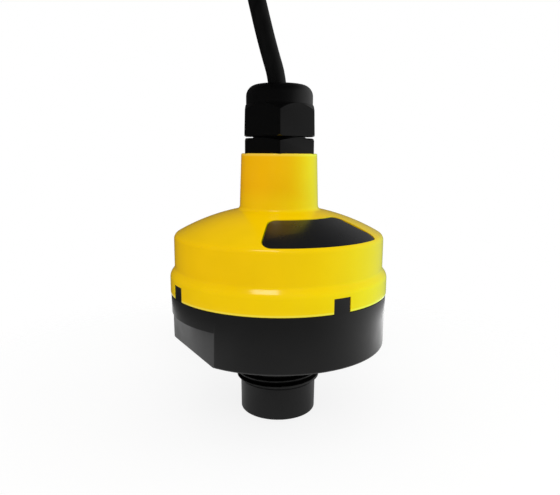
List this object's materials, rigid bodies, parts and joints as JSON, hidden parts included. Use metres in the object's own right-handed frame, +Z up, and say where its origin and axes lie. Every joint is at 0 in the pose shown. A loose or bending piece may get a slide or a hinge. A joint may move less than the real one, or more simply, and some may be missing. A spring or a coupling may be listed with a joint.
{
  "type": "ultrasonic level transmitter",
  "caption": "Compact ultrasonic level transmitter: domed yellow cover with a cable gland and free cable, on a black base with wrench flats and a pipe-threaded nose.",
  "frame": {"origin": "centre of the nose's flat end face, on the axis of the thread", "axes": "+Z up along the thread's axis towards the cable gland, -Y to the front with the dark panel, X across the wrench flats"},
  "size_m": [0.1231, 0.1587, 0.1955],
  "materials": {
    "base_black": "satin moulded",
    "cover_yellow": "semi-gloss moulded",
    "panel_black": "gloss",
    "gland_black": "satin nylon",
    "seal_rubber": "matte",
    "washer_nylon": "satin",
    "cable_jacket": "satin",
    "wire_insulation": "satin",
    "tie_nylon": "satin",
    "board_green": "satin",
    "spacer_brass": "machined",
    "screw_steel": "satin",
    "chip_black": "matte",
    "capacitor_can": "satin",
    "suppressor_blue": "gloss",
    "terminal_green": "satin",
    "layer_white": "matte",
    "piezo_silver": "silvered ceramic"
  },
  "bodies": {
    "housing": {"base_housing": "base_black", "top_cover": "cover_yellow", "front_panel": "panel_black", "gland_body": "gland_black", "housing_seal": "seal_rubber", "gland_washer": "seal_rubber", "gland_seal": "seal_rubber", "mounting_gasket": "seal_rubber", "signal_cable": "cable_jacket", "cable_entry": "cable_jacket", "cable_coil": "cable_jacket", "cable_leads": "wire_insulation", "coil_tie": "tie_nylon", "main_board": "board_green", "power_board": "board_green", "board_spacers": "spacer_brass", "board_screws": "screw_steel", "microcontroller": "chip_black", "pulse_transformer": "chip_black", "filter_capacitors": "capacitor_can", "board_connector": "chip_black", "voltage_regulator": "chip_black", "surge_suppressor": "suppressor_blue", "terminal_block": "terminal_green", "terminal_screws": "screw_steel", "inner_conductors": "wire_insulation", "matching_layer": "layer_white", "piezo_disc": "piezo_silver", "isolation_ring": "seal_rubber", "backing_pad": "seal_rubber", "transducer_leads": "wire_insulation", "temperature_sensor": "screw_steel", "sensor_lead": "wire_insulation"},
    "clamp_washer": {"skid_washer": "washer_nylon"},
    "clamp_nut": {"gland_nut": "gland_black"}
  },
  "joints": [
    {"name": "nut_travel", "type": "slide", "parent": "housing", "child": "clamp_washer", "axis": [0, 0, 1], "range_m": [0, 0.0061]},
    {"name": "nut_turn", "type": "hinge", "parent": "clamp_washer", "child": "clamp_nut", "pos_m": [0, 0, 0.1183], "axis": [0, 0, 1], "range_deg": [0, 1440]}
  ],
  "couplings": [
    {"joint": "nut_travel", "follows": "nut_turn", "m_per_rad": 0.00023873}
  ]
}
